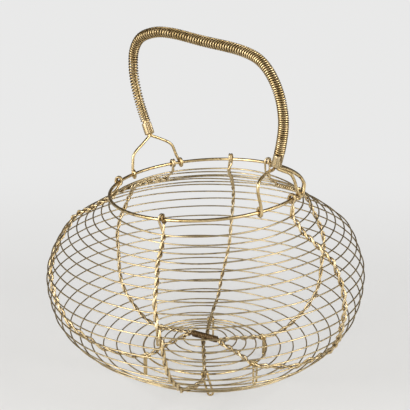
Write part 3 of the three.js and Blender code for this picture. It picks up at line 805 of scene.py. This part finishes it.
arms = {
    "leftFront": {"eye": 142, "slant": -0.57, "turn": 0.78, "shape": [
        (0.08, 0.97), (0.41, 0.81), (0.64, 0.71), (0.79, 0.63), (0.91, 0.51), (0.95, 0.35), (0.99, 0.13)]},
    "leftBack": {"eye": 106.7, "slant": 0.14, "turn": 0.78, "shape": [
        (0.12, 0.95), (0.46, 0.79), (0.65, 0.68), (0.76, 0.57), (0.82, 0.44), (0.89, 0.24), (0.96, 0.09)]},
    "rightFront": {"eye": 300.9, "slant": 0, "turn": 0.72, "shape": [
        (0.12, 0.98), (0.45, 1.02), (0.78, 1.0), (1.02, 0.95), (1.14, 0.86), (1.17, 0.65), (1.1, 0.41),
        (1.03, 0.2)]},
    "rightBack": {"eye": 340.4, "slant": 0, "turn": 0.72, "shape": [
        (0.12, 0.95), (0.47, 0.8), (0.68, 0.66), (0.88, 0.51), (1, 0.36), (1.05, 0.24), (1.03, 0.12)]},
    "rightShort": {"eye": 335.5, "slant": 0, "turn": 0.3, "shape": [
        (0.2, 0.91), (0.5, 0.78), (0.62, 0.69), (0.7, 0.57), (0.76, 0.44), (0.8, 0.31), (0.92, 0.05)]},
}


def forkMiddle(back, front):
    # Middle of the straight line between the eyes of a fork's two arms
    return onRing(rimRing, np.radians([arms[back]["eye"], arms[front]["eye"]])).mean(axis=0)


leftMiddle = forkMiddle("leftBack", "leftFront")
rightMiddle = forkMiddle("rightBack", "rightFront")
bailMiddle = (leftMiddle + rightMiddle) / 2
bailAlong = unit(rightMiddle - leftMiddle)
rimUp = rimRing["turn"][:, 2]
bailAcross = unit(np.cross(rimUp, bailAlong))
gripKnots = [bailMiddle + along * bailAlong + height * rimUp for along, height in bailFacts["route"]]
gripRoute = smoothRoute(gripKnots, bailFacts["gripStepsPerKnot"])
gripLength = lengthsAlong(gripRoute)[-1]


def eyeLine(arm, facts):
    # The wire comes down outside the rim, goes under it and, if its turn is long enough, comes up
    # inside and ends above
    angle = np.linspace(0, -arm["turn"] * turnRound, int(arm["turn"] * facts["eyeStepsPerTurn"]))
    reach = (ringFacts["rimWire"] + facts["wire"]) / 2 + facts["eyeGap"]
    outward = reach * np.cos(angle)
    place = math.radians(arm["eye"]) + arm["slant"] * outward / ringFacts["rimRadius"]
    return onRing(rimRing, place, outward, facts["eyeStretch"] * reach * np.sin(angle))


def armLine(start, arm, facts):
    # A smooth curve from the grip through the arm's shape into the eye
    eye = eyeLine(arm, facts)
    drop = eye[0] - start
    height = rimUp * (drop @ rimUp)
    across = drop - height
    knots = [start] + [start + across * out + height * (1 - left) for out, left in arm["shape"]] + [eye[0]]
    line = evenSteps(smoothRoute(np.array(knots), facts["armStepsPerKnot"]), facts["armStep"])
    return np.vstack([line[:-1], eye])


def insideWindingShade(along, start, end, facts):
    # Painted shade on the wires inside the winding: less on the left leg, where its turns stand apart
    share = np.clip((along - start) / (end - start), 0, 1)
    amount = np.interp(share, *zip(*facts["shadeAndDarkening"]))
    return amount * np.clip(np.minimum(along - start, end - along) / facts["buriedFrom"], 0, 1)


def addBailWire(name, side, leftArm, rightArm, facts):
    # The two long wires and, with side 0, the third one. Inside the winding the three lie in a
    # triangle: the pair is pushed inward and the third outward.
    middle = evenSteps(gripRoute, facts["gripStep"])
    normal = unit(np.cross(np.gradient(middle, axis=0), bailAcross))
    along = lengthsAlong(middle)
    ease = np.clip(np.minimum(along, along[-1] - along) / facts["triangleFrom"], 0, 1)
    outward = (0 if side else facts["thirdOutward"]) - facts["pairInward"] * ease
    middle = middle + bailAcross * side * facts["spacing"] / 2 + normal * outward[:, None]
    parts = [middle] if leftArm is None else [armLine(middle[0], leftArm, facts)[::-1], middle[1:]]
    parts.append(armLine(middle[-1], rightArm, facts)[1:])
    line = np.vstack(parts)
    along = lengthsAlong(line)
    start = 0.0 if leftArm is None else along[len(parts[0]) - 1]
    vertices, faces, _ = wireMesh(line, besideDirections(line), facts["wire"] / 2, facts["sides"])
    marks = insideWindingShade(np.pad(along, bowCount, mode="edge"), start, start + gripLength, facts)
    marks = np.repeat(marks, facts["sides"])
    addPiece(name + "_bent", [(vertices, faces, marks)], wireMetal, "bail", [name])


addBailWire("bail_wire_back", 1, arms["leftBack"], arms["rightBack"], bailFacts)
addBailWire("bail_wire_front", -1, arms["leftFront"], arms["rightFront"], bailFacts)
addBailWire("bail_wire_short", 0, None, arms["rightShort"], bailFacts)


# Grip: sleeves and winding. A sleeve end is the distance from the end and the size there. Pairs
# are a share of the winding's length and the value there.
gripFacts = {
    "slopeStep": 0.5,
    "sleeveStand": 1.9,
    "sleeveLength": 11.0,
    "sleeveWidth": 9.2,
    "sleeveThickness": 8.4,
    "sleeveEnd": ((0.0, 0.84), (0.15, 0.93), (0.5, 0.985)),
    "sleeveFlat": 1.2,
    "sleeveSteps": 10,
    "sleeveSides": 40,
    # How much darker each sleeve is all over
    "sleeveDarkening": {"left": 0.3, "right": 0.0},
    "fold": 1.7,
    "foldWidth": 0.28,
    "foldShade": 0.8,
    "sleeveGap": 0.3,
    "wrapWire": 1.5,
    "wrapOuter": 9.8,
    "lobes": 4,
    "lobeHeight": 0.06,
    "flankShade": 0.62,
    # How much darker the winding's turns are all over, at shares of its length
    "wrapDarkening": ((0.0, 0.25), (0.22, 0.25), (0.3, 0.0), (1.0, 0.0)),
    "grooveShade": ((0.0, 0.3), (0.25, 0.3), (0.35, 0.0), (0.68, 0.0), (0.8, 0.45), (1.0, 0.45)),
    "grooveSlope": 2.0,
    "grooveEdge": 0.4,
    "pitches": ((0.0, 2.0), (0.04, 2.3), (0.08, 2.69), (0.17, 2.65), (0.22, 2.3), (0.27, 2.9), (0.31, 3.3),
                (0.45, 3.3), (0.6, 3.0), (0.67, 2.9), (0.73, 1.95), (0.8, 1.84), (0.88, 1.72), (1.0, 1.75)),
    "samples": 6000,
    "stepsPerTurn": 20,
    "sides": 8,
}


def gripFrame(place, facts):
    # Middle of the grip at distances along it, and the direction square to it in the bail's plane
    ahead, behind = place + facts["slopeStep"], place - facts["slopeStep"]
    tangent = unit(atLengths(gripRoute, ahead) - atLengths(gripRoute, behind))
    return atLengths(gripRoute, place), unit(np.cross(tangent, bailAcross))


def sleeveMesh(start, end, shadeAndDarkening, facts):
    # A closed section carried along the grip: half the width times the cosine of the angle, half
    # the thickness times the sine. A bell curve of the cosine pulls the thickness in at the
    # middle, as a fold, and both ends are rounded in.
    angle = np.arange(facts["sleeveSides"]) * turnRound / facts["sleeveSides"]
    bell = np.exp(-(np.cos(angle) / facts["foldWidth"]) ** 2)
    x = facts["sleeveWidth"] / 2 * np.cos(angle)
    y = (facts["sleeveThickness"] / 2 - facts["fold"] * bell) * np.sin(angle)
    inset, shrink = np.array(facts["sleeveEnd"]).T
    flat = np.linspace(start + facts["sleeveFlat"], end - facts["sleeveFlat"], facts["sleeveSteps"])
    along = np.concatenate([start + inset, flat, end - inset[::-1]])
    size = np.concatenate([shrink, np.ones(len(flat)), shrink[::-1]])
    centre, normal = gripFrame(along, facts)
    section = x[None, :, None] * bailAcross + y[None, :, None] * normal[:, None]
    vertices = (centre[:, None] + size[:, None, None] * section).reshape(-1, 3)
    # Painted shade in the fold down the middle; the sleeve's darkening amount darkens the rest all over
    marks = np.maximum(bell * facts["foldShade"], shadeAndDarkening)
    return vertices, gridFaces(len(along), facts["sleeveSides"], False), np.tile(marks, len(along))


def windingMesh(facts):
    # One helix round the grip. The turn number at each place is the sum of length over the
    # pitch there, so the turns stand closer on the right leg. The wires inside push it out in
    # low lobes: its reach is a circle's times one plus a small cosine of so many times the
    # angle. Painted shade lies on the flanks, between neighbouring turns, and in the grooves between the
    # lobes.
    start = facts["sleeveStand"] + facts["sleeveLength"] + facts["sleeveGap"] + facts["wrapWire"] / 2
    along = np.linspace(start, gripLength - start, facts["samples"])
    share = (along - along[0]) / (along[-1] - along[0])
    pitch = np.interp(share, *zip(*facts["pitches"]))
    turns = np.concatenate([[0.0], np.cumsum(np.diff(along) / ((pitch[1:] + pitch[:-1]) / 2))])
    wanted = np.linspace(0, turns[-1], int(turns[-1] * facts["stepsPerTurn"]))
    centre, normal = gripFrame(np.interp(wanted, turns, along), facts)
    angle = wanted * turnRound
    lobe = np.cos(facts["lobes"] * angle)
    lobed = (1 + facts["lobeHeight"] * lobe) / (1 + facts["lobeHeight"])
    reach = (facts["wrapOuter"] - facts["wrapWire"]) / 2 * lobed
    around = np.cos(angle)[:, None] * normal + np.sin(angle)[:, None] * bailAcross
    line = centre + reach[:, None] * around
    vertices, faces, flank = wireMesh(line, around, facts["wrapWire"] / 2, facts["sides"], outside=around)
    share = np.interp(wanted, turns, share)
    groove = np.clip(-facts["grooveSlope"] * lobe - facts["grooveEdge"], 0, 1)
    groove = np.interp(share, *zip(*facts["grooveShade"])) * groove
    # Near the left end the turns are also darker all over
    unmarked = (1 - groove) * (1 - np.interp(share, *zip(*facts["wrapDarkening"])))
    unmarked = np.repeat(np.pad(unmarked, bowCount, mode="edge"), facts["sides"])
    print("winding:", round(turns[-1]), "turns")
    return vertices, faces, 1 - unmarked * (1 - facts["flankShade"] * flank)


sleeveFrom = gripFacts["sleeveStand"]
sleeveTo = sleeveFrom + gripFacts["sleeveLength"]
sleeves = {"left": (sleeveFrom, sleeveTo), "right": (gripLength - sleeveTo, gripLength - sleeveFrom)}
for side, (start, end) in sleeves.items():
    mesh = sleeveMesh(start, end, gripFacts["sleeveDarkening"][side], gripFacts)
    addPiece(f"grip_sleeve_{side}_folded", [mesh], sleeveMetal, "bail", [f"grip_sleeve_{side}"])
addPiece("grip_winding_close", [windingMesh(gripFacts)], wireMetal, "bail", ["grip_winding"])
print("bail made")


# Floor, backdrop and light. A sky level is its height, from 0 below to 1 above, and its colour.
stageFacts = {
    "width": 6.0, "front": -3.0, "back": 2.2, "bend": 1.6, "bendSteps": 24, "height": 4.5,
    "paper": (0.74, 0.74, 0.735), "paperRoughness": 0.9, "paperShine": 0.1,
    "nearGlow": (0.75, 0.745, 0.73), "farGlow": (0.815, 0.815, 0.812),
    "nearShare": 0.6, "farFrom": -0.1, "farTo": 0.6,
    "sky": ((0.0, (0.2, 0.2, 0.2)), (0.45, (0.13, 0.13, 0.13)), (0.62, (0.13, 0.13, 0.13)),
            (0.85, (0.055, 0.036, 0.016)), (1.0, (0.055, 0.036, 0.016))),
}


def stageMesh(facts):
    # Flat floor that bends up into a wall along a quarter circle
    bend = np.radians(np.linspace(0, 90, facts["bendSteps"]))
    bendDepth = facts["back"] + facts["bend"] * np.sin(bend)
    bendRise = facts["bend"] * (1 - np.cos(bend))
    depth = np.concatenate([[facts["front"], 0.0], bendDepth, [facts["back"] + facts["bend"]]])
    rise = np.concatenate([[0.0, 0.0], bendRise, [facts["height"]]])
    across = np.array([-facts["width"] / 2, facts["width"] / 2])
    vertices = np.stack([np.tile(across, len(depth)), np.repeat(depth, 2), np.repeat(rise, 2)], axis=1)
    faces = [[2 * k, 2 * k + 1, 2 * k + 3, 2 * k + 2] for k in range(len(depth) - 1)]
    return vertices / millimetre, faces


def paperMaterial(facts):
    # White paper. The camera sees it as partly lit from below, as on a light table, and towards
    # the back as evenly lit.
    material = bpy.data.materials.new("paper")
    material.use_nodes = True
    nodes, links = material.node_tree.nodes, material.node_tree.links
    shader = nodes["Principled BSDF"]
    shader.inputs["Base Color"].default_value = (*facts["paper"], 1)
    shader.inputs["Roughness"].default_value = facts["paperRoughness"]
    shader.inputs["Specular IOR Level"].default_value = facts["paperShine"]
    coordinates = nodes.new("ShaderNodeTexCoord")
    split = nodes.new("ShaderNodeSeparateXYZ")
    links.new(coordinates.outputs["Object"], split.inputs["Vector"])
    far = nodes.new("ShaderNodeMapRange")
    far.interpolation_type = "SMOOTHSTEP"
    far.inputs["From Min"].default_value = facts["farFrom"]
    far.inputs["From Max"].default_value = facts["farTo"]
    links.new(split.outputs["Y"], far.inputs["Value"])
    tone = nodes.new("ShaderNodeMix")
    tone.data_type = "RGBA"
    tone.inputs["A"].default_value = (*facts["nearGlow"], 1)
    tone.inputs["B"].default_value = (*facts["farGlow"], 1)
    links.new(far.outputs["Result"], tone.inputs["Factor"])
    glow = nodes.new("ShaderNodeEmission")
    links.new(tone.outputs["Result"], glow.inputs["Color"])
    share = nodes.new("ShaderNodeMapRange")
    share.inputs["To Min"].default_value = facts["nearShare"]
    links.new(far.outputs["Result"], share.inputs["Value"])
    path = nodes.new("ShaderNodeLightPath")
    factor = nodes.new("ShaderNodeMath")
    factor.operation = "MULTIPLY"
    links.new(share.outputs["Result"], factor.inputs[0])
    links.new(path.outputs["Is Camera Ray"], factor.inputs[1])
    mix = nodes.new("ShaderNodeMixShader")
    links.new(factor.outputs["Value"], mix.inputs["Fac"])
    links.new(shader.outputs["BSDF"], mix.inputs[1])
    links.new(glow.outputs["Emission"], mix.inputs[2])
    links.new(mix.outputs["Shader"], nodes["Material Output"].inputs["Surface"])
    return material


def studioWorld(levels):
    # Dark above, light all round the horizon: the colour follows the height of the direction
    world = bpy.data.worlds.new("studio")
    world.use_nodes = True
    nodes, links = world.node_tree.nodes, world.node_tree.links
    coordinates = nodes.new("ShaderNodeTexCoord")
    split = nodes.new("ShaderNodeSeparateXYZ")
    links.new(coordinates.outputs["Generated"], split.inputs["Vector"])
    ramp = nodes.new("ShaderNodeValToRGB")
    elements = ramp.color_ramp.elements
    elements[0].position, elements[1].position = levels[0][0], levels[-1][0]
    for position, _ in levels[1:-1]:
        elements.new(position)
    for element, (_, colour) in zip(elements, levels):
        element.color = (*colour, 1)
    half = nodes.new("ShaderNodeMapRange")
    half.inputs["From Min"].default_value = -1.0
    links.new(split.outputs["Z"], half.inputs["Value"])
    links.new(half.outputs["Result"], ramp.inputs["Fac"])
    links.new(ramp.outputs["Color"], nodes["Background"].inputs["Color"])
    return world


floor = bpy.data.objects.new("floor", makeMesh("floor", *stageMesh(stageFacts)))
bpy.context.scene.collection.objects.link(floor)
floor.data.materials.append(paperMaterial(stageFacts))

lampTarget = (0, 0, 0.12)
lampFacts = {
    "left": {"place": (-1.4, -1.1, 0.85), "size": (1.1, 1.3), "power": 54.0},
    "right": {"place": (1.45, -0.9, 0.95), "size": (0.9, 1.2), "power": 38.0},
}


def areaLight(name, facts, target):
    # A rectangle of light at its place, turned towards the target with its sides level
    data = bpy.data.lights.new(name, "AREA")
    data.shape = "RECTANGLE"
    data.size, data.size_y = facts["size"]
    data.energy = facts["power"]
    light = bpy.data.objects.new(name, data)
    bpy.context.scene.collection.objects.link(light)
    place = np.array(facts["place"], float)
    back = unit(place - target)
    side = unit(np.cross([0, 0, 1.0], back))
    above = np.cross(back, side)
    light.matrix_world = Matrix([[side[k], above[k], back[k], place[k]] for k in range(3)] + [[0, 0, 0, 1]])


for name, facts in lampFacts.items():
    areaLight(name + "Lamp", facts, lampTarget)
bpy.context.scene.world = studioWorld(stageFacts["sky"])
bpy.context.scene.view_settings.view_transform = "Standard"
print("stage and lamps made")
